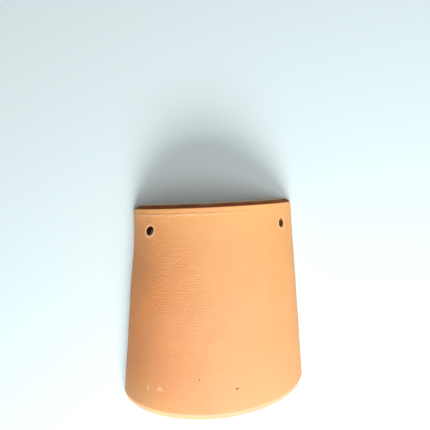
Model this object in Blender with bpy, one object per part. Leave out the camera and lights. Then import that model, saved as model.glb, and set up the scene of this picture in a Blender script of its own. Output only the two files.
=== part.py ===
"""A short barrel roof tile of fired clay, with two nail holes near its narrow end.

The tile is a tapered arch with a wall of one thickness. It lies on its two long
edges, which are flat. +Z is up, +Y runs along the tile from the wide end, its
nose, to the narrow end, its head, and the origin is at the middle of the
tile's outer box, on the surface that it lies on. Everything is in metres.
"""

import math

import bmesh
import bpy
from mathutils import Vector

MM = 0.001

# The arch
TILE_LENGTH = 193.0 * MM          # along the crown, from the nose cut to the head cut
NOSE_WIDTH = 185.0 * MM           # over both feet at the wide end
NOSE_RISE = 65.5 * MM             # from the feet to the crown at the wide end
HEAD_WIDTH = 157.5 * MM           # over both feet at the narrow end
HEAD_RISE = 56.0 * MM             # from the feet to the crown at the narrow end
WALL = 12.0 * MM                  # thickness of the clay

# The end cuts, which run out of square: the tile's left side lies further towards the nose
NOSE_SKEW = math.radians(3.7)
HEAD_SKEW = math.radians(2.2)

# The rubbed slopes where the outer face meets the end cuts
NOSE_SLOPE_REACH = 5.8 * MM       # along the tile
NOSE_SLOPE_DEPTH = 2.6 * MM       # into the wall
HEAD_SLOPE_REACH = 3.1 * MM
HEAD_SLOPE_DEPTH = 3.5 * MM

# The arrises, all rounded alike
EDGE_ROUND = 1.5 * MM
ROUND_STEPS = 3                   # facets across each arris
ARRIS_FROM = math.radians(35)     # the least turn between two faces that makes an arris
SHARP_FROM = math.radians(30)     # the least turn that is shaded as an edge

# The nail holes, made by hand with one round punch
HOLE_DIAMETER = 8.3 * MM
HOLE_FLARE = 0.8 * MM             # how far the punch widens each hole's outer mouth
LEFT_HOLE_FROM_CROWN = 70.0 * MM  # along the outer face, from the crown line
LEFT_HOLE_FROM_HEAD = 23.2 * MM   # along the tile, from the head cut to the hole's middle
RIGHT_HOLE_FROM_CROWN = 72.0 * MM
RIGHT_HOLE_FROM_HEAD = 22.6 * MM
HOLE_SIDES = 32

# How far each punch leaned from square to the curved face: to the crown, and to the head
LEFT_PUNCH_LEAN = (math.radians(41), math.radians(20))
RIGHT_PUNCH_LEAN = (math.radians(8), math.radians(-2))

# How finely the arch is drawn
ARCH_STEPS = 64
LENGTH_STEPS = 10

CLAY_COLOUR = (0.68, 0.32, 0.14, 1.0)
CLAY_ROUGHNESS = 0.88


def clear_scene():
    """Removes whatever the scene holds."""
    for thing in list(bpy.data.objects):
        bpy.data.objects.remove(thing, do_unlink=True)


def clay_material():
    """The tile's unglazed clay."""
    clay = bpy.data.materials.new("fired_clay")
    clay.use_nodes = True
    shader = clay.node_tree.nodes["Principled BSDF"]
    shader.inputs["Base Color"].default_value = CLAY_COLOUR
    shader.inputs["Roughness"].default_value = CLAY_ROUGHNESS
    shader.inputs["Metallic"].default_value = 0.0
    return clay


def blend(at_nose, at_head, along):
    """A size at a share of the way from the nose, 0, to the head, 1."""
    return at_nose + (at_head - at_nose) * along


def arch_at(along):
    """The outer arc's radius and the height of its centre, below the feet when negative."""
    half = blend(NOSE_WIDTH, HEAD_WIDTH, along) / 2
    rise = blend(NOSE_RISE, HEAD_RISE, along)
    radius = (half * half + rise * rise) / (2 * rise)
    return radius, rise - radius


def point_on_arch(along, depth, angle):
    """A point at an angle from the crown, at a depth below the outer face."""
    radius, centre = arch_at(along)
    x = (radius - depth) * math.sin(angle)
    z = (radius - depth) * math.cos(angle) + centre
    nose_reach = TILE_LENGTH / 2 + math.tan(NOSE_SKEW) * NOSE_WIDTH / 2
    head_reach = TILE_LENGTH / 2 + math.tan(HEAD_SKEW) * HEAD_WIDTH / 2
    middle = (nose_reach - head_reach) / 2
    skew = blend(math.tan(NOSE_SKEW), math.tan(HEAD_SKEW), along)
    y = middle + TILE_LENGTH * (along - 0.5) + skew * x
    return Vector((x, y, z))


def foot_angle(along, depth):
    """The angle from the crown at which the face at this depth comes down to the feet."""
    radius, centre = arch_at(along)
    return math.acos(-centre / (radius - depth))


def arch_section(along, trim):
    """The outer face from left to right, trimmed by a depth, then the inner face from right to left."""
    shares = [2 * step / ARCH_STEPS - 1 for step in range(ARCH_STEPS + 1)]
    outer = [point_on_arch(along, trim, share * foot_angle(along, trim)) for share in shares]
    inner = [point_on_arch(along, WALL, share * foot_angle(along, WALL)) for share in shares]
    return outer + inner[::-1]


def stations():
    """Where the sections stand, as shares of the length, and how deep each one's outer face is trimmed."""
    after_nose = NOSE_SLOPE_REACH / TILE_LENGTH
    before_head = 1 - HEAD_SLOPE_REACH / TILE_LENGTH
    body = [(blend(after_nose, before_head, step / LENGTH_STEPS), 0.0) for step in range(LENGTH_STEPS + 1)]
    return [(0.0, NOSE_SLOPE_DEPTH)] + body + [(1.0, HEAD_SLOPE_DEPTH)]


def arch_mesh():
    """The plain arch: sections joined along the length, closed at both ends."""
    shape = bmesh.new()
    rings = []
    for along, trim in stations():
        rings.append([shape.verts.new(point) for point in arch_section(along, trim)])
    count = len(rings[0])
    for near, far in zip(rings, rings[1:]):
        for index in range(count):
            after = (index + 1) % count
            shape.faces.new((near[index], near[after], far[after], far[index]))
    for ring in (rings[0], rings[-1]):
        for index in range(ARCH_STEPS):
            across = count - 1 - index
            shape.faces.new((ring[index], ring[index + 1], ring[across - 1], ring[across]))
    bmesh.ops.recalc_face_normals(shape, faces=shape.faces)
    mesh = bpy.data.meshes.new("roof_tile")
    shape.to_mesh(mesh)
    shape.free()
    return mesh


def lean_over(across, ahead, height, lean):
    """Where a point of an upright punch goes when the punch leans and its section stays round."""
    slant_across, slant_ahead = math.tan(lean[0]), math.tan(lean[1])
    steepness = math.hypot(slant_across, slant_ahead)
    widening = (math.hypot(1.0, steepness) - 1.0) / max(steepness, 1e-9) ** 2
    shift = height + widening * (across * slant_across + ahead * slant_ahead)
    return across + shift * slant_across, ahead + shift * slant_ahead


def nail_hole_cutter(name, from_crown, from_head, lean):
    """A punch, widened just below the outer face. Negative distances lie to the left of the crown."""
    along = 1 - from_head / TILE_LENGTH
    angle = from_crown / arch_at(along)[0]
    side = math.copysign(1.0, angle)
    mouth = point_on_arch(along, 0.0, angle)
    outward = Vector((math.sin(angle), 0.0, math.cos(angle)))
    to_crown = Vector((-side * math.cos(angle), 0.0, side * math.sin(angle)))
    to_head = Vector((0.0, 1.0, 0.0))
    radius = HOLE_DIAMETER / 2
    outline = [(radius, -2 * WALL), (radius, -HOLE_FLARE), (radius + HOLE_FLARE + WALL / 2, WALL / 2)]
    shape = bmesh.new()
    rings = []
    for reach, height in outline:
        ring = []
        for step in range(HOLE_SIDES):
            turn = 2 * math.pi * step / HOLE_SIDES
            across, ahead = lean_over(reach * math.cos(turn), reach * math.sin(turn), height, lean)
            ring.append(shape.verts.new(mouth + to_crown * across + to_head * ahead + outward * height))
        rings.append(ring)
    for near, far in zip(rings, rings[1:]):
        for index in range(HOLE_SIDES):
            after = (index + 1) % HOLE_SIDES
            shape.faces.new((near[index], near[after], far[after], far[index]))
    shape.faces.new(rings[0])
    shape.faces.new(rings[-1])
    bmesh.ops.recalc_face_normals(shape, faces=shape.faces)
    mesh = bpy.data.meshes.new(name)
    shape.to_mesh(mesh)
    shape.free()
    cutter = bpy.data.objects.new(name, mesh)
    bpy.context.scene.collection.objects.link(cutter)
    cutter.hide_render = True
    cutter.display_type = "WIRE"
    return cutter


def roof_tile():
    """The tile: the arch, its rounded arrises and its nail holes."""
    tile = bpy.data.objects.new("roof_tile", arch_mesh())
    bpy.context.scene.collection.objects.link(tile)
    tile.data.materials.append(clay_material())
    arrises = tile.modifiers.new("arrises", "BEVEL")
    arrises.limit_method = "ANGLE"
    arrises.angle_limit = ARRIS_FROM
    arrises.width = EDGE_ROUND
    arrises.segments = ROUND_STEPS
    nails = {
        "left_nail": (-LEFT_HOLE_FROM_CROWN, LEFT_HOLE_FROM_HEAD, LEFT_PUNCH_LEAN),
        "right_nail": (RIGHT_HOLE_FROM_CROWN, RIGHT_HOLE_FROM_HEAD, RIGHT_PUNCH_LEAN),
    }
    for name, place_and_lean in nails.items():
        punch = tile.modifiers.new(name, "BOOLEAN")
        punch.operation = "DIFFERENCE"
        punch.object = nail_hole_cutter(name, *place_and_lean)
    tile.data.shade_smooth()
    tile.data.set_sharp_from_angle(angle=SHARP_FROM)
    return tile


clear_scene()
roof_tile()
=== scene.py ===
"""A short barrel roof tile of fired clay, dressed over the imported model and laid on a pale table.

The tile is made as a potter makes it: a flat slab is draped over a tapered mould,
trimmed at both ends, punched for two nails and worked over while it is wet.
+Y runs from the wide nose to the narrow head, +Z is up, and everything is in metres.
"""

import math

import bpy
import numpy as np
from bpy.props import FloatProperty, FloatVectorProperty, IntProperty, PointerProperty
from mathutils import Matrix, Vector, noise


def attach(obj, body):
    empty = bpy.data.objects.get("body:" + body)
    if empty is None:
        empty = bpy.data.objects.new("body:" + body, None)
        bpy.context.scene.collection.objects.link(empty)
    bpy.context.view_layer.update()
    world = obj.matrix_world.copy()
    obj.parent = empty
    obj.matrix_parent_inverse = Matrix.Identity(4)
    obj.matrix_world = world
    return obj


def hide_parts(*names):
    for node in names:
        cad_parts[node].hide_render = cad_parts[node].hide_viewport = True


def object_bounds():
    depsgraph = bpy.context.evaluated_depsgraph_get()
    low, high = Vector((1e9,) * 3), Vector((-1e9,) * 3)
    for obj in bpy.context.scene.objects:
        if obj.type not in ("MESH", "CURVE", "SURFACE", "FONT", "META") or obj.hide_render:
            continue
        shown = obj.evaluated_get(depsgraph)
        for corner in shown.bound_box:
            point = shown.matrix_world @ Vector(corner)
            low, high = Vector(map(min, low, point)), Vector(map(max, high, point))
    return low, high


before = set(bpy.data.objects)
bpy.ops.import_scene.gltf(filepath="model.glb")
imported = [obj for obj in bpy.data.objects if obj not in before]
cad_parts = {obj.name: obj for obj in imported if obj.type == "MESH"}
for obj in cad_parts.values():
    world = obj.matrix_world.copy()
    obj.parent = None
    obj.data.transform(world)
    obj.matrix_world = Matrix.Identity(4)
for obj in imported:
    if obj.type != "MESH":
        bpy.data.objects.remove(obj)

bl_info = {
    "name": "Clay Roof Tile",
    "version": (1, 0, 0),
    "blender": (4, 5, 0),
    "location": "View3D > Sidebar > Clay Tile",
    "description": "Models a short barrel roof tile of fired clay and a pale table under it",
    "category": "Add Mesh",
}

MM = 0.001
CAD_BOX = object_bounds()
PICTURE_SIDE = 430                  # picture points across and down
SENSOR_WIDTH = 36.0                 # of the camera, in millimetres
ARRIS_ANGLE = math.radians(35)      # the least turn between two faces that makes an arris
END_SHARE = 1e-6                    # how near an end cut, as a share of the length, counts as on it
TINY = 1e-9                         # keeps a division from failing


class TileSizes(bpy.types.PropertyGroup):
    """The tile's real sizes."""

    length: FloatProperty(
        name="Length", description="Along the crown, from the nose cut to the head cut",
        default=193 * MM, unit="LENGTH")
    nose_width: FloatProperty(
        name="Nose width", description="Over both feet at the wide end", default=185 * MM, unit="LENGTH")
    nose_rise: FloatProperty(
        name="Nose rise", description="From the feet to the crown at the wide end",
        default=65.5 * MM, unit="LENGTH")
    head_width: FloatProperty(
        name="Head width", description="Over both feet at the narrow end", default=157.5 * MM, unit="LENGTH")
    head_rise: FloatProperty(
        name="Head rise", description="From the feet to the crown at the narrow end",
        default=56 * MM, unit="LENGTH")
    wall: FloatProperty(
        name="Wall", description="Thickness of the clay", default=12 * MM, unit="LENGTH")
    nose_skew: FloatProperty(
        name="Nose skew", description="How far the nose cut runs out of square",
        default=math.radians(3.7), subtype="ANGLE")
    head_skew: FloatProperty(
        name="Head skew", description="How far the head cut runs out of square",
        default=math.radians(2.2), subtype="ANGLE")
    nose_slope: FloatVectorProperty(
        name="Nose slope", description="The rubbed slope at the nose: along the tile, and into the wall",
        default=(5.8 * MM, 2.6 * MM), unit="LENGTH", size=2)
    head_slope: FloatVectorProperty(
        name="Head slope", description="The rubbed slope at the head: along the tile, and into the wall",
        default=(3.1 * MM, 3.5 * MM), unit="LENGTH", size=2)
    edge_round: FloatProperty(
        name="Edge rounding", description="Width of every rounded arris", default=1.5 * MM, unit="LENGTH")
    hole_diameter: FloatProperty(
        name="Nail hole", description="Diameter of the nail holes", default=8.3 * MM, unit="LENGTH")
    left_hole: FloatVectorProperty(
        name="Left hole", description="Its distance left of the crown line, and from the head cut",
        default=(70.0 * MM, 23.2 * MM), unit="LENGTH", size=2)
    left_lean: FloatVectorProperty(
        name="Left lean", description="How far its punch leans from square: to the crown, and to the head",
        default=(math.radians(41), math.radians(20)), unit="ROTATION", size=2)
    right_hole: FloatVectorProperty(
        name="Right hole", description="Its distance right of the crown line, and from the head cut",
        default=(72.0 * MM, 22.6 * MM), unit="LENGTH", size=2)
    right_lean: FloatVectorProperty(
        name="Right lean", description="How far its punch leans from square: to the crown, and to the head",
        default=(math.radians(8), math.radians(-2)), unit="ROTATION", size=2)


class ClayLook(bpy.types.PropertyGroup):
    """How the clay was worked and how it fired, and the light and shade painted on it."""

    ripple: FloatProperty(
        name="Ripple height", description="Height of the fine ripples that cross the tile",
        default=0.054 * MM, unit="LENGTH")
    ripple_gap: FloatProperty(
        name="Ripple gap", description="From one ripple to the next", default=2.6 * MM, unit="LENGTH")
    swell: FloatProperty(
        name="Swell height", description="Height of the broad unevenness of hand work",
        default=0.3 * MM, unit="LENGTH")
    strip: FloatProperty(
        name="Head strip", description="Width of the pressed strip along the head cut",
        default=8.6 * MM, unit="LENGTH")
    seed: IntProperty(name="Seed", description="Changes where the scattered pits fall", default=7)
    body: FloatVectorProperty(
        name="Body", description="The clay's main colour", default=(0.69, 0.338, 0.148),
        subtype="COLOR", size=3)
    # Paler clay in clouds, and the painted highlight on the ripples' crests
    pale_and_crest_light: FloatVectorProperty(
        name="Pale", description="Where the clay fired paler", default=(0.76, 0.395, 0.182),
        subtype="COLOR", size=3)
    # Redder clay in patches, and the painted warm light in the shade of the left flank
    red: FloatVectorProperty(
        name="Red", description="Where the clay fired redder", default=(0.88, 0.308, 0.09),
        subtype="COLOR", size=3)
    # Pale specks, sand and scuffs, and the painted highlight on the burr and round the holes
    dust: FloatVectorProperty(
        name="Dust", description="Pale marks and the rims of the holes", default=(0.98, 0.66, 0.38),
        subtype="COLOR", size=3)
    # The colour of the painted warm light near both ends
    painted_warm_light: FloatVectorProperty(
        name="Bloom", description="The paler clay near both ends", default=(0.98, 0.505, 0.20),
        subtype="COLOR", size=3)
    # The colours of the painted highlight on the nose's slope, on the left and on the right
    left_rim_highlight: FloatVectorProperty(
        name="Left rim", description="The rubbed nose rim on the left", default=(0.86, 0.475, 0.245),
        subtype="COLOR", size=3)
    right_rim_highlight: FloatVectorProperty(
        name="Right rim", description="The rubbed nose rim on the right", default=(0.56, 0.345, 0.212),
        subtype="COLOR", size=3)
    # The colour of the painted shade in pits, the groove, the bores and on the head's slope
    shade_colour: FloatVectorProperty(
        name="Deep", description="Pits, grooves and the bores of the holes", default=(0.14, 0.026, 0.003),
        subtype="COLOR", size=3)
    # These tints shift every colour towards the nose, towards the head and on the right flank
    nose_tint: FloatVectorProperty(
        name="Nose tint", description="What the kiln did to every colour at the nose",
        default=(0.99, 0.985, 1.07), subtype="COLOR", size=3)
    head_tint: FloatVectorProperty(
        name="Head tint", description="What the kiln did to every colour at the head",
        default=(1.0, 0.985, 0.91), subtype="COLOR", size=3)
    right_tint: FloatVectorProperty(
        name="Right tint", description="What the kiln did to every colour on the right flank",
        default=(1.0, 1.02, 0.91), subtype="COLOR", size=3)


class StudioLook(bpy.types.PropertyGroup):
    """The table, the light and the camera."""

    key: FloatVectorProperty(
        name="Key light", description="Power in watts, turn to the right of the nose and height in degrees",
        default=(27.0, 8.0, 35.0), size=3)
    fill: FloatVectorProperty(
        name="Fill light", description="Power in watts, turn to the right of the nose and height in degrees",
        default=(8.8, 75.0, 60.0), size=3)
    light_colour: FloatVectorProperty(
        name="Light colour", description="The colour of both lights", default=(1.0, 0.985, 0.96),
        subtype="COLOR", size=3)
    sky: FloatProperty(name="Sky", description="Strength of the light from all round", default=0.37)
    sky_colour: FloatVectorProperty(
        name="Sky colour", description="The colour of the light from all round",
        default=(1.0, 0.965, 0.93), subtype="COLOR", size=3)
    table_colour: FloatVectorProperty(
        name="Table colour", description="The colour of the table top", default=(0.56, 0.665, 0.70),
        subtype="COLOR", size=3)
    focal: FloatProperty(
        name="Focal length", description="In picture points, for a picture 430 points wide", default=436.3)
    camera_place: FloatVectorProperty(
        name="Camera", description="Where the camera hangs over the tile",
        default=(-28.7 * MM, 109.2 * MM, 441 * MM), subtype="TRANSLATION", size=3)
    camera_turn: FloatVectorProperty(
        name="Camera turn", description="How the camera leans from straight down",
        default=(math.radians(-3.2), math.radians(-3.947), math.radians(-0.401)),
        subtype="EULER", size=3)


def only(thing):
    """Selects one object alone and makes it the active one."""
    bpy.ops.object.select_all(action="DESELECT")
    thing.select_set(True)
    bpy.context.view_layer.objects.active = thing


class Arch:
    """The mould: where each point of the flat slab comes to lie, and the way back."""

    def __init__(self, sizes):
        self.sizes = sizes
        self.nose_tilt = math.tan(sizes.nose_skew)
        self.head_tilt = math.tan(sizes.head_skew)
        nose_reach = sizes.length / 2 + self.nose_tilt * sizes.nose_width / 2
        head_reach = sizes.length / 2 + self.head_tilt * sizes.head_width / 2
        self.middle = (nose_reach - head_reach) / 2

    def circle(self, along):
        """The outer arc's radius and the height of its centre, from the nose, 0, to the head, 1."""
        sizes = self.sizes
        half = (sizes.nose_width + (sizes.head_width - sizes.nose_width) * along) / 2
        rise = sizes.nose_rise + (sizes.head_rise - sizes.nose_rise) * along
        radius = (half * half + rise * rise) / (2 * rise)
        return radius, rise - radius

    def foot_angle(self, along, depth):
        """The angle from the crown at which the face at this depth meets the table."""
        radius, centre = self.circle(along)
        return np.arccos(-centre / (radius - depth))

    def place(self, angle, along, depth):
        """Where a point lies: its angle from the crown, its share of the length and its depth."""
        radius, centre = self.circle(along)
        x = (radius - depth) * np.sin(angle)
        z = (radius - depth) * np.cos(angle) + centre
        tilt = self.nose_tilt + (self.head_tilt - self.nose_tilt) * along
        y = self.middle + self.sizes.length * (along - 0.5) + tilt * x
        return np.stack([x, y, z], axis=-1)

    def surface_place(self, across, along):
        """Where a point of the outer face lies: its distance from the crown line, and its share."""
        return self.place(across / self.circle(along)[0], along, 0.0)

    def share_along(self, points):
        """How far along the tile each point lies, from the nose, 0, to the head, 1."""
        x, y, _ = points.T
        length = self.sizes.length
        reach = y - self.middle + length / 2 - self.nose_tilt * x
        return reach / (length + (self.head_tilt - self.nose_tilt) * x)

    def outward(self, points):
        """The direction square out of the outer face, over each point."""
        x, _, z = points.T
        centre = self.circle(self.share_along(points))[1]
        spoke = np.stack([x, np.zeros(len(x)), z - centre], axis=-1)
        return spoke / np.linalg.norm(spoke, axis=1)[:, None]

    def unroll(self, points):
        """The way back: distance from the crown line, distance from the nose cut and depth."""
        x, _, z = points.T
        along = self.share_along(points)
        radius, centre = self.circle(along)
        angle = np.arctan2(x, z - centre)
        return angle * radius, along * self.sizes.length, radius - np.hypot(x, z - centre)


class Slab:
    """Makes the tile's mesh, step by step."""

    columns = 174               # across the tile
    coarse_gap = 20 * MM        # between the first rows of faces along the tile
    outer_gap = 0.55 * MM       # between the rows of the outer face
    inner_gap = 3.0 * MM        # between the rows of the inner face
    wall_cuts = 5               # through the wall, at both ends and under both feet
    arris_facets = 5            # across each rounded arris
    spot_cuts = 2               # of each face's width near a nail hole or a pit
    hole_reach = 10 * MM        # how far round a nail hole the faces are made finer
    pit_margin = 1.2 * MM       # how far past twice a pit's radius they are
    least_edge = 0.5 * MM       # shorter edges aren't cut there
    foot_height = 0.4 * MM      # what lies lower keeps its height, so that the feet stay flat
    scattered_pits = 24

    # The pits in plain view: distance right of the crown line and from the nose cut, radius and
    # depth, all in millimetres
    clear_pits = (
        (-17.8, 37.6, 0.7, 0.3),
        (16.2, 26.4, 0.85, 0.5),
        (100.4, 12.0, 0.7, 0.3),
        (-73.2, 178.0, 0.6, 0.3),
        (-69.5, 178.2, 0.6, 0.3),
    )

    def __init__(self, context):
        self.sizes = context.scene.tile_sizes
        self.look = context.scene.clay_look
        self.arch = Arch(self.sizes)
        self.holes = []

    def lay_flat(self):
        """A flat slab one unit square and one unit thick, ruled where the slopes of both ends begin."""
        bpy.ops.object.select_all(action="DESELECT")
        bpy.ops.mesh.primitive_grid_add(
            x_subdivisions=self.columns, y_subdivisions=1, size=1.0, enter_editmode=True)
        length = self.sizes.length
        for cut in (-0.5 + self.sizes.nose_slope[0] / length, 0.5 - self.sizes.head_slope[0] / length):
            bpy.ops.mesh.select_all(action="SELECT")
            bpy.ops.mesh.bisect(plane_co=(0.0, cut, 0.0), plane_no=(0.0, 1.0, 0.0))
        bpy.ops.mesh.select_all(action="SELECT")
        bpy.ops.mesh.extrude_region_move(TRANSFORM_OT_translate={"value": (0.0, 0.0, -1.0)})
        bpy.ops.mesh.select_all(action="SELECT")
        bpy.ops.mesh.normals_make_consistent(inside=False)
        bpy.ops.object.mode_set(mode="OBJECT")
        self.tile = bpy.context.object
        self.tile.name = "fired_clay_tile"
        self.tile.data.name = "fired_clay_tile"

    def drape(self):
        """Bends the slab over the mould, its feet on the table, and slopes both ends of its outer face."""
        sizes = self.sizes
        flat = read_points(self.tile)
        along = flat[:, 1] + 0.5
        at_nose, at_head = along < END_SHARE, along > 1 - END_SHARE
        trim = np.where(at_nose, sizes.nose_slope[1], np.where(at_head, sizes.head_slope[1], 0.0))
        depth = np.where(flat[:, 2] < -0.5, sizes.wall, trim)
        angle = 2 * flat[:, 0] * self.arch.foot_angle(along, depth)
        write_points(self.tile, self.arch.place(angle, along, depth))

    def round_arrises(self):
        """Rounds every arris."""
        arrises = self.tile.modifiers.new("arrises", "BEVEL")
        arrises.limit_method = "ANGLE"
        arrises.angle_limit = ARRIS_ANGLE
        arrises.width = self.sizes.edge_round
        arrises.segments = self.arris_facets
        only(self.tile)
        bpy.ops.object.modifier_apply(modifier="arrises")

    def rule_finely(self):
        """Divides the faces, finely outside, so that the clay's small marks can be pressed in.

        The longest edges are cut first, and what they leave is cut again. A run is 1 for an
        edge that runs along the tile and 0 for one that runs across it.
        """
        half_wall = self.sizes.wall / 2
        for outside, fine_gap in ((True, self.outer_gap), (False, self.inner_gap)):
            rounds = (
                (100 * MM, 1000 * MM, self.coarse_gap),
                (10 * MM, 100 * MM, fine_gap),
                (2.4 * MM, 10 * MM, fine_gap),
            )
            for shortest, longest, gap in rounds:
                lengths, runs, middles = edge_runs(self.tile)
                depth = self.arch.unroll(middles)[2]
                wanted = (runs > 0.8) & (lengths > shortest) & (lengths <= longest)
                wanted &= (depth < half_wall) == outside
                if wanted.any():
                    cuts = int(round(float(np.median(lengths[wanted])) / gap)) - 1
                    subdivide_edges(self.tile, wanted, max(cuts, 1))
        lengths, runs, _ = edge_runs(self.tile)
        subdivide_edges(self.tile, (lengths > 5 * MM) & (runs < 0.2), self.wall_cuts)

    def refine_round(self, spot, reach):
        """Divides the faces round one spot more finely across the tile."""
        near = np.linalg.norm(read_points(self.tile) - np.array(spot), axis=1) < reach
        lengths, runs, _ = edge_runs(self.tile)
        inside = near[edge_ends(self.tile)].all(axis=1)
        wanted = inside & (runs < 0.5) & (lengths > self.least_edge)
        subdivide_edges(self.tile, wanted, self.spot_cuts)

    def punch_nail_holes(self):
        """Punches both nail holes, each with a softly rounded mouth. The left one has the more pale dust and
        painted highlight round it.
        """
        sizes = self.sizes
        nails = (
            ("left_punch", -1, sizes.left_hole, sizes.left_lean, 1.0),
            ("right_punch", 1, sizes.right_hole, sizes.right_lean, 0.45),
        )
        for name, side, place, lean, dust in nails:
            along = 1 - place[1] / sizes.length
            angle = side * place[0] / self.arch.circle(along)[0]
            mouth = self.arch.place(angle, along, 0.0)
            hole = Hole(mouth, angle, lean, sizes.hole_diameter / 2, dust)
            self.holes.append(hole)
            self.refine_round(mouth, self.hole_reach)
            punch = hole.punch(name, sizes.wall)
            bore = self.tile.modifiers.new(name, "BOOLEAN")
            bore.operation = "DIFFERENCE"
            bore.object = punch
            only(self.tile)
            bpy.ops.object.modifier_apply(modifier=name)
            bpy.data.objects.remove(punch, do_unlink=True)

    def pits(self):
        """The clear pits and the scattered ones, in metres."""
        pits = list(self.clear_pits)
        dice = np.random.default_rng(self.look.seed)
        for _ in range(self.scattered_pits):
            radius = dice.uniform(0.3, 0.5)
            pits.append((dice.uniform(-105, 105), dice.uniform(10, 178), radius, 0.4 * radius))
        return [tuple(value * MM for value in pit) for pit in pits]

    def work_the_clay(self, pits):
        """Presses the marks of hand work into the clay and paints the shares that its colour needs."""
        points = read_points(self.tile)
        normals = np.empty(len(points) * 3)
        self.tile.data.vertex_normals.foreach_get("vector", normals)
        relief = ClayRelief(self.arch, self.look, self.holes, pits, points)
        moved = points + self.arch.outward(points) * relief.form()[:, None]
        moved += normals.reshape(-1, 3) * relief.marks()[:, None]
        moved[:, 1] -= relief.worn_corners()
        moved[:, 2] = np.where(points[:, 2] < self.foot_height, points[:, 2], moved[:, 2])
        lowest, highest = np.array(CAD_BOX)
        write_points(self.tile, np.clip(moved, lowest, highest))
        for name, values in relief.paint().items():
            layer = self.tile.data.attributes.new(name, "FLOAT", "POINT")
            layer.data.foreach_set("value", values)

    def make(self):
        """Makes the tile from a flat slab."""
        self.lay_flat()
        self.drape()
        self.round_arrises()
        self.rule_finely()
        self.punch_nail_holes()
        pits = self.pits()
        for across, from_nose, radius, _ in pits:
            spot = self.arch.surface_place(across, from_nose / self.sizes.length)
            self.refine_round(spot, 2 * radius + self.pit_margin)
        self.work_the_clay(pits)
        only(self.tile)
        bpy.ops.object.shade_smooth_by_angle(angle=ARRIS_ANGLE)
        return self.tile


class Hole:
    """A nail hole: where its mouth is, how its punch leans, the punch itself and the pale dust and painted
    highlight round it.
    """

    sides = 64
    lip = 1.0 * MM              # radius of the soft curve round the mouth
    lip_steps = 6

    def __init__(self, mouth, angle, lean, radius, dust):
        self.mouth = np.array(mouth)
        self.radius = radius
        self.dust = dust
        side = math.copysign(1.0, angle)
        outward = (math.sin(angle), 0.0, math.cos(angle))
        crownward = (-side * math.cos(angle), 0.0, side * math.sin(angle))
        self.axes = np.array([crownward, (0.0, 1.0, 0.0), outward])
        self.lean = np.array([math.tan(lean[0]), math.tan(lean[1])])
        steep = np.linalg.norm(self.lean)
        course = self.lean / max(steep, TINY)
        self.stretch = np.eye(2) + (math.hypot(1.0, steep) - 1.0) * np.outer(course, course)

    def set_up(self, points):
        """Stands points of an upright punch in the hole: they lean, and widen the way they lean."""
        flat = points[:, :2] @ self.stretch + points[:, 2:] * self.lean
        return self.mouth + np.column_stack([flat, points[:, 2]]) @ self.axes

    def seen_from(self, points):
        """Each point's distance from the punch's middle, how far it lies noseward, and its height."""
        away = (points - self.mouth) @ self.axes.T
        flat = (away[:, :2] - away[:, 2:] * self.lean) @ np.linalg.inv(self.stretch)
        distance = np.linalg.norm(flat, axis=1)
        return distance, -flat[:, 1] / np.maximum(distance, TINY), away[:, 2]

    def outline(self, wall):
        """The punch's radius at each height, from its foot, through the lip's curve, to its top."""
        lip = self.lip
        turns = [math.radians(90 * step / self.lip_steps) for step in range(self.lip_steps + 1)]
        curve = [(self.radius + lip * (1 - math.cos(turn)), -lip * (1 - math.sin(turn))) for turn in turns]
        return [(self.radius, -2 * wall), *curve, (self.radius + lip + 0.5 * wall, 0.5 * wall)]

    def punch(self, name, wall):
        """The punch: a round rod that widens in a soft curve just under the outer face."""
        outline = self.outline(wall)
        bpy.ops.object.select_all(action="DESELECT")
        bpy.ops.mesh.primitive_circle_add(
            vertices=self.sides, radius=self.radius, fill_type="NGON", enter_editmode=True)
        bpy.ops.transform.translate(value=(0.0, 0.0, outline[0][1]))
        for (reach, height), (next_reach, next_height) in zip(outline, outline[1:]):
            grow = next_reach / reach
            rise = (0.0, 0.0, next_height - height)
            bpy.ops.mesh.extrude_region_move(TRANSFORM_OT_translate={"value": rise})
            bpy.ops.transform.resize(value=(grow, grow, 1.0))
        bpy.ops.object.mode_set(mode="OBJECT")
        rod = bpy.context.object
        rod.name = name
        write_points(rod, self.set_up(read_points(rod)))
        bpy.ops.object.mode_set(mode="EDIT")
        bpy.ops.mesh.select_all(action="SELECT")
        bpy.ops.mesh.normals_make_consistent(inside=False)
        bpy.ops.object.mode_set(mode="OBJECT")
        return rod


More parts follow.
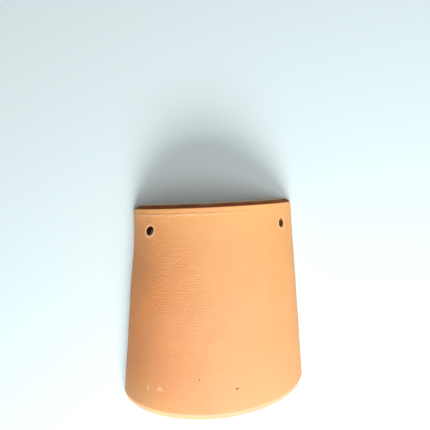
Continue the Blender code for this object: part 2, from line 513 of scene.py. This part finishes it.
class ClayRelief:
    """How far each point of the clay stands in or out, and what that does to its colour."""

    # Heights and depths of the hand work, which moves the whole wall
    dent_depth = 1.1 * MM
    bulge_height = 0.6 * MM
    flank_depth = 0.1 * MM
    flare_height = 1.6 * MM
    form_room = 0.12 * MM       # what the swell of hand work is let in by

    # Heights and depths of the fine marks
    strip_depth = 0.08 * MM
    groove_depth = 0.03 * MM
    burr_height = 0.20 * MM
    ring_height = 0.20 * MM
    ring_unevenness = 0.15 * MM
    sand_height = 0.07 * MM
    underside_swell = 0.12 * MM
    mark_room = 0.04 * MM       # what the fine marks are let in by
    least_room = 0.005 * MM     # what every point but the flared corner stays in by

    # Sizes of the patterns
    swell_size = 38 * MM
    slow_size = 16 * MM
    sand_size = 2.2 * MM
    grain_size = 0.9 * MM
    patch_size = 30 * MM
    skin = 3 * MM               # the outer marks fade out by this depth

    # How deep the painted highlight on the nose's slope and the painted shade on the head's slope reach, and
    # over how much each starts
    rim_highlight_depth = 3.4 * MM
    rim_highlight_edge = 1.2 * MM
    head_shade_depth = 2.4 * MM
    head_shade_edge = 1.0 * MM
    dark_pit = 0.3 * MM         # how deep a pit is when it looks dark

    # How far the head's corners are worn, across the tile
    left_wear = 13.0 * MM
    right_wear = 6.0 * MM

    # The scuffs near the nose: distance right of the crown line and from the nose cut, where each
    # stroke starts and where it ends, in millimetres
    scuff_strokes = (
        (-59.0, 24.6, -56.8, 27.2),
        (-56.8, 27.2, -54.8, 24.8),
        (-71.2, 22.6, -71.6, 26.4),
    )
    scuff_width = 0.9 * MM

    def __init__(self, arch, look, holes, pits, points):
        self.arch = arch
        self.sizes = arch.sizes
        self.look = look
        self.points = points
        self.across, self.from_nose, self.depth = arch.unroll(points)
        self.from_head = self.sizes.length - self.from_nose
        self.outer = np.clip(1 - self.depth / self.skin, 0, 1)
        self.inner = np.clip((self.depth - self.sizes.wall + 2 * MM) / (2 * MM), 0, 1)
        self.slow = fractal_at(points / self.slow_size + 5.0, 3)
        self.ripple, self.tooth = self.ripples()
        self.strip, self.groove, self.burr = self.head_strip()
        self.ring, self.dusty, self.bore = self.hole_rims(holes)
        self.pit = self.pit_depth(pits)

    def form(self):
        """How far the whole wall moves outwards: the swell, the pressed flank and the flared corner."""
        swell = fractal_at(self.points / self.swell_size, 3)
        uneven = self.look.swell * (0.8 * swell + 0.35 * self.slow) + self.hand_press()
        return np.minimum(uneven - self.form_room, -self.least_room) + self.flare()

    def marks(self):
        """How far each point moves along its normal: all the fine marks."""
        sand = self.sand_height * noise_at(self.points / self.sand_size)
        height = self.outer * self.look.ripple * self.ripple
        height += self.inner * (sand + self.underside_swell * self.slow)
        pressed = -self.strip * self.strip_depth - self.groove * self.groove_depth
        height += self.outer * (pressed + self.burr * self.burr_height)
        height += self.outer * self.ring * (self.ring_height + self.ring_unevenness * self.slow)
        height -= self.outer * self.pit
        return np.minimum(height - self.mark_room, -self.least_room)

    def paint(self):
        """The shares, from 0 to 1, by which the material paints each vertex.

        The painted shade is shade painted in the pits, the groove, the bores and on the head's slope, the rub
        and highlight is pale dust and scuffs with a painted highlight on the burr and round the holes, the
        rim highlight is the painted highlight on the nose's slope, the painted warm light is warm light
        painted near both ends, tooth is how rough the outer face is, ripple is 1 on a crest and 0 in a
        trough, cut is the end cuts, and inner is the inner face.
        """
        outer, depth = self.outer, self.depth
        # The painted highlight on the nose's slope, and the painted shade on the head's slope and a little of
        # its cut
        nose = smooth_step(0.5 - (self.from_nose - self.sizes.nose_slope[0]) / self.rim_highlight_edge)
        head = smooth_step(0.5 - (self.from_head - self.sizes.head_slope[0]) / self.head_shade_edge)
        slope = np.clip(2.2 - depth / self.rim_highlight_depth, 0, 1)
        head_shade = 0.96 * np.clip(2.1 - depth / self.head_shade_depth + 0.25 * self.slow, 0, 1)
        # Painted shade in the pits and the groove
        pit_and_groove_shade = outer * (0.8 * self.pit / self.dark_pit + 0.4 * self.groove)
        from_end = np.minimum(self.from_nose, self.from_head)
        end_face = np.clip(1.3 - from_end / (0.8 * MM), 0, 1)
        return {
            "painted_shade": np.clip(pit_and_groove_shade + head * head_shade + self.bore, 0, 1),
            # Pale dust and painted highlight round the holes, scuffs, and a painted highlight on the burr
            "rub_and_highlight": np.clip(outer * (self.dusty + 0.7 * self.burr + self.scuffs()), 0, 1),
            "rim_highlight": np.clip(nose * slope, 0, 1),
            "painted_warm_light": np.clip(outer * self.painted_warm_light() * (1 - nose) * (1 - head), 0, 1),
            "tooth": np.clip(outer * self.tooth / 1.4, 0, 1),
            "ripple": 0.5 + 0.5 * np.clip(outer * self.ripple, -1, 1),
            "cut": end_face * np.clip((depth - 2 * MM) / (2 * MM), 0, 1),
            "inner": self.inner,
        }

    def hand_press(self):
        """The left flank as a hand pressed it: a shallow dent towards the head, a low bulge near the nose."""
        flank = bell(self.across, centre=-92 * MM, width=48 * MM)
        dent = self.dent_depth * bell(self.from_head, centre=46 * MM, width=24 * MM)
        bulge = self.bulge_height * bell(self.from_nose, centre=27 * MM, width=17 * MM)
        return flank * (bulge - dent - self.flank_depth)

    def flare(self):
        """How far the left corner of the head flares out, where the trimming pushed it."""
        flank = bell(self.across, centre=-100 * MM, width=48 * MM)
        return self.flare_height * flank * fading(self.from_head, reach=14 * MM)

    def worn_corners(self):
        """How far the head cut draws back at its two corners, the left one the more worn."""
        along = self.from_nose / self.sizes.length
        depth = np.clip(self.depth, 0, self.sizes.wall)
        radius = self.arch.circle(along)[0]
        to_foot = (radius - depth) * (self.arch.foot_angle(along, depth) - np.abs(self.across) / radius)
        wear = np.where(self.across < 0, self.left_wear, self.right_wear)
        share = np.clip(1 - to_foot / wear, 0, 1)
        return 0.36 * wear * (1 - np.sqrt(1 - share ** 2)) * fading(self.from_head, reach=9 * MM)

    def painted_warm_light(self):
        """The share of painted warm light near both ends, most of it on the left."""
        left = np.clip(-self.across / (60 * MM) - 0.15, 0, 1)
        head = fading(self.from_head, reach=24 * MM, power=1.5) * (0.5 + 0.5 * left)
        nose = 0.35 * fading(self.from_nose, reach=14 * MM, power=1)
        corner = 0.9 * left * fading(self.from_nose, reach=22 * MM, power=1.5)
        return head + nose + corner

    def scuffs(self):
        """Pale scuffs near the nose, each a short stroke from one spot to another."""
        total = np.zeros(len(self.points))
        for stroke in self.scuff_strokes:
            start, end = np.array(stroke[:2]) * MM, np.array(stroke[2:]) * MM
            run = end - start
            away = np.stack([self.across, self.from_nose], axis=-1) - start
            share = np.clip(away @ run / (run @ run), 0, 1)
            distance = np.linalg.norm(away - share[:, None] * run, axis=1)
            total = np.maximum(total, bell(distance, centre=0.0, width=self.scuff_width))
        return total

    def cells(self, wide, long, layer):
        """Places in noise whose cells are this wide across the tile and this long along it."""
        layers = np.full(len(self.points), layer)
        return np.stack([self.across / wide, self.from_nose / long, layers], axis=-1)

    def ripples(self):
        """Short broken ripples across the tile, strongest left of the crown and fading to the right."""
        rows = self.cells(wide=3.0 * MM, long=4.6 * MM, layer=3.0)
        waver = 4.2 * noise_at(rows) + 2.0 * noise_at(rows * 0.31 + 9.0)
        wave = np.sin(2 * math.pi * self.from_nose / self.look.ripple_gap + waver)
        dashes = self.cells(wide=1.7 * MM, long=2.0 * MM, layer=17.0)
        broken = np.clip(0.54 + 2.0 * noise_at(dashes), 0.0, 1.7)
        side = bell(self.across, centre=-48 * MM, width=48 * MM)
        middle = bell(self.from_nose, centre=124 * MM, width=80 * MM)
        patch = 1.0 + 0.9 * fractal_at(self.points / self.patch_size + 11.0, 2)
        tooth = (0.16 + 1.5 * side * middle) * np.clip(patch, 0.3, 1.7)
        grain = noise_at(self.points / self.grain_size)
        return tooth * (broken * wave + 0.35 * grain) + 0.10 * grain, tooth

    def head_strip(self):
        """The pressed strip along the head cut, with a groove and the trimming's burr at its edge."""
        edge = self.sizes.length - self.look.strip
        wobble = 0.5 * MM * fractal_at(self.points / (14 * MM) + 21.0, 2)
        past = self.from_nose - edge + wobble
        fade = np.clip(0.85 - (self.across + 20 * MM) / (70 * MM), 0.12, 1.0)
        broken = np.clip(0.75 + 1.3 * noise_at(self.points / (9 * MM) + 2.0), 0.25, 1.2)
        strip = smooth_step(past / (1.2 * MM))
        burr = bell(past, centre=-0.7 * MM, width=0.75 * MM) * fade * broken
        groove = bell(past, centre=0.7 * MM, width=0.5 * MM) * fade * broken
        return strip, groove, burr

    def hole_rims(self, holes):
        """The clay that each punch pushed up round its mouth, the pale dust and painted highlight on it, and
        the painted shade in the bore inside.

        The pale dust and highlight spread further towards the nose than towards the head.
        """
        ring = np.zeros(len(self.points))
        dusty = np.zeros(len(self.points))
        bore = np.zeros(len(self.points))
        for hole in holes:
            distance, noseward, height = hole.seen_from(self.points)
            past_edge = distance - hole.radius
            near = np.abs(height) < 8 * MM
            spread = (0.7 + 1.1 * np.maximum(noseward, 0)) * MM
            ring += near * bell(past_edge, centre=1.0 * MM, width=0.8 * MM)
            dust = bell(past_edge, centre=1.0 * MM, width=spread) * (0.85 + 0.25 * noseward)
            dusty += hole.dust * near * dust
            inside = (past_edge < 0.05 * MM) & (height > -1.6 * self.sizes.wall)
            # Painted shade in the bore, darkest deeper in
            bore += inside * np.clip(-height / (2.0 * MM), 0.7, 1.0)
        return np.clip(ring, 0, 1), dusty, np.clip(bore, 0, 1)

    def pit_depth(self, pits):
        """How deep the small pits go, each a little out of round."""
        total = np.zeros(len(self.points))
        for place, reach, radius, depth in pits:
            turn = np.arctan2(self.from_nose - reach, self.across - place)
            ragged = radius * (1 + 0.25 * np.sin(2 * turn + place * 900) + 0.15 * np.sin(5 * turn))
            away = np.hypot(self.across - place, self.from_nose - reach)
            total = np.maximum(total, depth * fading(away, reach=ragged, power=4))
        return total


def read_points(thing):
    """An object's vertices as rows."""
    points = np.empty(len(thing.data.vertices) * 3)
    thing.data.vertices.foreach_get("co", points)
    return points.reshape(-1, 3)


def write_points(thing, points):
    """Moves an object's vertices."""
    thing.data.vertices.foreach_set("co", np.ascontiguousarray(points).ravel())
    thing.data.update()


def edge_ends(thing):
    """The two vertices of each edge."""
    ends = np.empty(len(thing.data.edges) * 2, dtype=np.int32)
    thing.data.edges.foreach_get("vertices", ends)
    return ends.reshape(-1, 2)


def edge_runs(thing):
    """Each edge's length, how nearly it runs along the tile, from 0 to 1, and its middle."""
    first, last = read_points(thing)[edge_ends(thing)].transpose(1, 0, 2)
    lengths = np.linalg.norm(last - first, axis=1)
    return lengths, np.abs(last[:, 1] - first[:, 1]) / np.maximum(lengths, TINY), (first + last) / 2


def subdivide_edges(thing, wanted, cuts):
    """Cuts the wanted edges into equal lengths."""
    only(thing)
    mesh = thing.data
    for elements in (mesh.vertices, mesh.edges, mesh.polygons):
        elements.foreach_set("select", np.zeros(len(elements), dtype=bool))
    mesh.edges.foreach_set("select", wanted)
    bpy.context.tool_settings.mesh_select_mode = (False, True, False)
    bpy.ops.object.mode_set(mode="EDIT")
    bpy.ops.mesh.subdivide(number_cuts=cuts)
    bpy.ops.object.mode_set(mode="OBJECT")


def noise_at(places):
    """Smooth noise from -1 to 1 at each place."""
    return np.array([noise.noise(place) for place in places.tolist()])


def fractal_at(places, octaves):
    """Noise with finer noise on it."""
    return np.array([noise.fractal(place, 1.0, 2.1, octaves) for place in places.tolist()])


def smooth_step(value):
    """A soft step from 0 to 1, half way up at 0 and one unit wide."""
    value = np.clip(value + 0.5, 0, 1)
    return value * value * (3 - 2 * value)


def bell(value, centre, width):
    """1 at the centre, falling off softly on both sides of it."""
    return np.exp(-((value - centre) / width) ** 2)


def fading(distance, reach, power=2):
    """1 at no distance, falling off over the reach. A higher power holds longer and drops faster."""
    return np.exp(-(np.maximum(distance, 0) / reach) ** power)


class Socket:
    """An output socket that does arithmetic: each operator adds a Math node."""

    def __init__(self, tree, out):
        self.tree = tree
        self.out = out

    def math(self, operation, *values):
        """One Math node fed with sockets and numbers."""
        node = self.tree.nodes.new("ShaderNodeMath")
        node.operation = operation
        for index, value in enumerate(values):
            if isinstance(value, Socket):
                self.tree.links.new(value.out, node.inputs[index])
            else:
                node.inputs[index].default_value = value
        return Socket(self.tree, node.outputs[0])

    def __add__(self, other):
        return self.math("ADD", self, other)

    def __radd__(self, other):
        return self.math("ADD", other, self)

    def __sub__(self, other):
        return self.math("SUBTRACT", self, other)

    def __rsub__(self, other):
        return self.math("SUBTRACT", other, self)

    def __mul__(self, other):
        return self.math("MULTIPLY", self, other)

    def __rmul__(self, other):
        return self.math("MULTIPLY", other, self)

    def clamp(self):
        """The value kept between 0 and 1."""
        return self.math("MINIMUM", self.math("MAXIMUM", self, 0.0), 1.0)


class Finish:
    """A material under construction."""

    def __init__(self, name):
        self.material = bpy.data.materials.new(name)
        self.material.use_nodes = True
        self.tree = self.material.node_tree
        self.shader = self.tree.nodes["Principled BSDF"]

    def node(self, kind, settings=None, **values):
        """Adds a node, sets its settings and feeds its sockets. Underscores stand for spaces."""
        node = self.tree.nodes.new(kind)
        for name, value in (settings or {}).items():
            setattr(node, name, value)
        for name, value in values.items():
            self.feed(node.inputs[name.replace("_", " ")], value)
        return node

    def feed(self, socket, value):
        """Links or sets one socket."""
        if isinstance(value, Socket):
            self.tree.links.new(value.out, socket)
        else:
            socket.default_value = value

    def out(self, node, name):
        """One output of a node, ready for arithmetic."""
        return Socket(self.tree, node.outputs[name])

    def place(self, stretch=(1.0, 1.0, 1.0)):
        """The point of the object itself, stretched for a pattern."""
        coordinates = self.node("ShaderNodeTexCoord")
        mapping = self.node("ShaderNodeMapping", Vector=self.out(coordinates, "Object"), Scale=stretch)
        return self.out(mapping, "Vector")

    def noise(self, scale, detail=2.0, roughness=0.5, stretch=(1.0, 1.0, 1.0)):
        """Noise from 0 to 1 at so many waves to the metre."""
        texture = self.node("ShaderNodeTexNoise", Vector=self.place(stretch), Scale=scale,
                            Detail=detail, Roughness=roughness)
        return self.out(texture, "Fac")

    def attribute(self, name):
        """A value painted on the mesh."""
        node = self.node("ShaderNodeAttribute", {"attribute_name": name})
        return self.out(node, "Fac")

    def mix(self, factor, first, second, kind="MIX"):
        """Mixes two colours."""
        node = self.node("ShaderNodeMix", {"data_type": "RGBA", "blend_type": kind})
        colours = [socket for socket in node.inputs if socket.type == "RGBA"]
        for socket, value in zip((node.inputs[0], *colours), (factor, first, second)):
            self.feed(socket, value)
        return Socket(self.tree, next(out for out in node.outputs if out.type == "RGBA"))

    def tint(self, colour, other):
        """A colour multiplied by another."""
        return self.mix(1.0, colour, other, "MULTIPLY")

    def shade(self, colour, share):
        """A colour made darker, to this share of it."""
        return self.tint(colour, (share, share, share, 1.0))


def solid(colour):
    """A colour with full alpha."""
    return (*colour, 1.0)


def fired_clay(look):
    """Unglazed fired clay: matte, a little uneven in colour, with fine grain, pale dust, and painted light
    and shade.
    """
    clay = Finish("fired_clay")
    broad = clay.noise(scale=13.0, detail=3.0)
    clouds = clay.noise(scale=48.0, detail=4.0, stretch=(1.0, 0.55, 1.0))
    dashes = clay.noise(scale=330.0, detail=3.0, stretch=(1.0, 2.2, 1.0))
    grain = clay.noise(scale=1500.0, detail=2.0)
    speck = clay.noise(scale=620.0, detail=1.0)
    sand = clay.noise(scale=900.0, detail=2.0, roughness=0.6)
    drag = clay.noise(scale=420.0, detail=3.0, stretch=(0.12, 1.0, 1.0))
    tooth = clay.attribute("tooth")
    inner = clay.attribute("inner")
    cut = clay.attribute("cut")
    painted_shade = clay.attribute("painted_shade")
    spot = clay.node("ShaderNodeSeparateXYZ", Vector=clay.place())
    across, ahead = clay.out(spot, "X"), clay.out(spot, "Y")

    # The broad colour: redder in patches, redder down the left flank as painted warm light in its shade,
    # paler in clouds, and painted warm light near both ends
    painted_left_bounce = (across * -16.0 - 0.2).clamp()
    redder = ((0.62 - broad) * 0.7 + painted_left_bounce * 0.85).clamp()
    colour = clay.mix(redder, solid(look.body), solid(look.red))
    colour = clay.mix((clouds * 1.9 - 0.60).clamp() * 0.5, colour, solid(look.pale_and_crest_light))
    # Painted warm light near both ends, most of it on the left
    colour = clay.mix(clay.attribute("painted_warm_light") * 0.9, colour, solid(look.painted_warm_light))

    # The outer face's small marks: ripples with a painted highlight on their crests and painted shade in
    # their troughs, dark pocks and pale specks
    crest_light_and_trough_shade = (clay.attribute("ripple") * 1.3 - 0.15).clamp()
    colour = clay.mix(crest_light_and_trough_shade * 0.40, clay.shade(colour, 0.925), solid(look.pale_and_crest_light))
    pocks = ((tooth + 0.15) * (0.95 - dashes * 2.0).clamp()).clamp()
    colour = clay.mix(pocks * 0.35, colour, clay.shade(colour, 0.5))
    colour = clay.mix((speck * 7.0 - 4.7).clamp() * 0.3, colour, solid(look.dust))

    # Sand underneath and on the end cuts, where the cutting wire dragged it
    sandy = (inner + cut).clamp() * (sand * 2.4 - 0.7).clamp()
    colour = clay.mix(sandy * 0.5, colour, solid(look.dust))
    dragged = cut * (drag * 3.0 - 1.2).clamp()
    colour = clay.mix(dragged * 0.35, colour, clay.shade(colour, 0.6))

    # A shift of every colour from the nose to the head, and another on the right flank
    headward = (ahead * 5.5 + 0.45).clamp()
    colour = clay.tint(colour, clay.mix(headward, solid(look.nose_tint), solid(look.head_tint)))
    right_flank = (across * 14.0 - 0.1).clamp()
    colour = clay.mix(right_flank, colour, clay.tint(colour, solid(look.right_tint)))

    # Pale rubbed marks with painted highlight on the burr and round the holes, the painted highlight on the
    # nose rim, and painted shade in the pits, the groove, the bores and on the head's slope
    colour = clay.mix(clay.attribute("rub_and_highlight") * 0.75, colour, solid(look.dust))
    rightward = (across * 16.0 + 0.95).clamp()
    rim_highlight = clay.mix(rightward, solid(look.left_rim_highlight), solid(look.right_rim_highlight))
    colour = clay.mix(clay.attribute("rim_highlight") * 0.85, colour, rim_highlight)
    colour = clay.mix(painted_shade * 0.97, colour, solid(look.shade_colour))

    clay.feed(clay.shader.inputs["Base Color"], colour)
    clay.feed(clay.shader.inputs["Roughness"], grain * 0.12 + 0.70 + painted_shade * 0.18)
    fine = grain * 0.4 + dashes * (tooth * 1.6 + 0.3) + (sand * 0.9) * (inner + cut) + drag * cut * 1.4
    bump = clay.node("ShaderNodeBump", Height=fine, Strength=0.4, Distance=0.25 * MM)
    clay.feed(clay.shader.inputs["Normal"], clay.out(bump, "Normal"))
    clay.shader.inputs["Specular IOR Level"].default_value = 0.3
    return clay.material


def pale_table(colour):
    """The table's plain matte surface."""
    surface = Finish("pale_table")
    surface.shader.inputs["Base Color"].default_value = solid(colour)
    surface.shader.inputs["Roughness"].default_value = 0.7
    return surface.material


class CLAY_OT_roof_tile(bpy.types.Operator):
    """Adds the fired clay tile"""

    bl_idname = "clay.roof_tile"
    bl_label = "Clay Roof Tile"
    bl_options = {"REGISTER", "UNDO"}

    def execute(self, context):
        tile = Slab(context).make()
        tile.data.materials.clear()
        tile.data.materials.append(fired_clay(context.scene.clay_look))
        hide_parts("roof_tile")
        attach(tile, "root")
        return {"FINISHED"}


class CLAY_OT_studio(bpy.types.Operator):
    """Adds the pale table, the soft light and the camera"""

    bl_idname = "clay.studio"
    bl_label = "Table, Light and Camera"
    bl_options = {"REGISTER", "UNDO"}

    table_side = 4.0
    table_gap = 0.2 * MM        # keeps the table top clear of the feet
    window_size = (0.9, 0.5)
    window_distance = 1.3
    nearest_seen = 10 * MM

    def execute(self, context):
        look = context.scene.studio_look
        self.table(look)
        self.window("key_light", look.key, look.light_colour)
        self.window("fill_light", look.fill, look.light_colour)
        self.sky(context, look)
        self.camera(context, look)
        context.scene.view_settings.view_transform = "Standard"
        return {"FINISHED"}

    def table(self, look):
        """A plain pale table top under the tile."""
        bpy.ops.object.select_all(action="DESELECT")
        bpy.ops.mesh.primitive_plane_add(size=self.table_side, location=(0.0, 0.0, -self.table_gap))
        table = bpy.context.object
        table.name = "table"
        table.data.materials.append(pale_table(look.table_colour))

    def window(self, name, place, colour):
        """A broad soft light that faces the tile."""
        power, turn, height = place[0], math.radians(place[1]), math.radians(place[2])
        level = math.cos(height)
        towards = Vector((math.sin(turn) * level, -math.cos(turn) * level, math.sin(height)))
        bpy.ops.object.light_add(type="AREA", location=towards * self.window_distance)
        window = bpy.context.object
        window.name = name
        window.data.shape = "RECTANGLE"
        window.data.size, window.data.size_y = self.window_size
        window.data.energy = power
        window.data.color = colour
        window.rotation_euler = towards.to_track_quat("Z", "Y").to_euler()

    def sky(self, context, look):
        """Soft light from all round."""
        world = bpy.data.worlds.new("studio_sky")
        context.scene.world = world
        world.use_nodes = True
        background = world.node_tree.nodes["Background"]
        background.inputs["Color"].default_value = solid(look.sky_colour)
        background.inputs["Strength"].default_value = look.sky

    def camera(self, context, look):
        """The camera looks almost straight down, from above the head of the tile."""
        data = bpy.data.cameras.new("camera")
        data.sensor_width = SENSOR_WIDTH
        data.lens = look.focal / PICTURE_SIDE * SENSOR_WIDTH
        data.clip_start = self.nearest_seen
        camera = bpy.data.objects.new("camera", data)
        context.scene.collection.objects.link(camera)
        camera.location = look.camera_place
        camera.rotation_euler = look.camera_turn
        context.scene.camera = camera


class CLAY_PT_tile(bpy.types.Panel):
    """Lists the tile's sizes, the clay's look and the studio."""

    bl_label = "Clay Roof Tile"
    bl_idname = "CLAY_PT_tile"
    bl_space_type = "VIEW_3D"
    bl_region_type = "UI"
    bl_category = "Clay Tile"

    def draw(self, context):
        layout = self.layout
        for group in (context.scene.tile_sizes, context.scene.clay_look, context.scene.studio_look):
            box = layout.box()
            for name in group.__annotations__:
                box.prop(group, name)
        layout.operator(CLAY_OT_roof_tile.bl_idname)
        layout.operator(CLAY_OT_studio.bl_idname)


GROUPS = {"tile_sizes": TileSizes, "clay_look": ClayLook, "studio_look": StudioLook}
CLASSES = (*GROUPS.values(), CLAY_OT_roof_tile, CLAY_OT_studio, CLAY_PT_tile)


def register():
    for each in CLASSES:
        bpy.utils.register_class(each)
    for name, group in GROUPS.items():
        setattr(bpy.types.Scene, name, PointerProperty(type=group))


def unregister():
    for name in GROUPS:
        delattr(bpy.types.Scene, name)
    for each in reversed(CLASSES):
        bpy.utils.unregister_class(each)


def main():
    register()
    bpy.ops.clay.roof_tile()
    bpy.ops.clay.studio()


if __name__ == "__main__":
    main()
